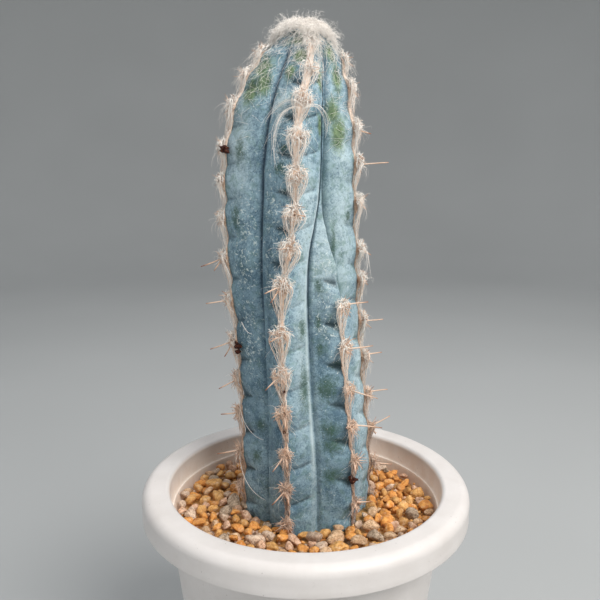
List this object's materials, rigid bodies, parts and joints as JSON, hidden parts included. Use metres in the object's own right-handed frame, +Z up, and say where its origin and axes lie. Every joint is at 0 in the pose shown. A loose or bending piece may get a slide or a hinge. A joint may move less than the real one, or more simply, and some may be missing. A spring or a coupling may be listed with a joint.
{
  "type": "potted blue torch cactus",
  "caption": "Ribbed blue column cactus with woolly spiny areoles and a felted tip, standing in gravel and soil in a plain white rimmed pot.",
  "frame": {"origin": "centre of the pot's foot, on the surface that it stands on", "axes": "+Z up along the pot's axis; -Y towards the plant's front"},
  "size_m": [0.15, 0.15, 0.3327],
  "materials": {
    "pot_plastic": "satin",
    "soil": "matte",
    "gravel": "matte",
    "skin": "satin",
    "wool": "matte",
    "felt": "matte"
  },
  "bodies": {
    "root": {"pot": "pot_plastic", "soil": "soil", "gravel": "gravel", "stem": "skin", "areoles_rib_1": "wool", "areoles_rib_2": "wool", "areoles_rib_3": "wool", "areoles_rib_4": "wool", "areoles_rib_5": "wool", "areoles_rib_6": "wool", "crown_wool": "felt"}
  },
  "joints": []
}
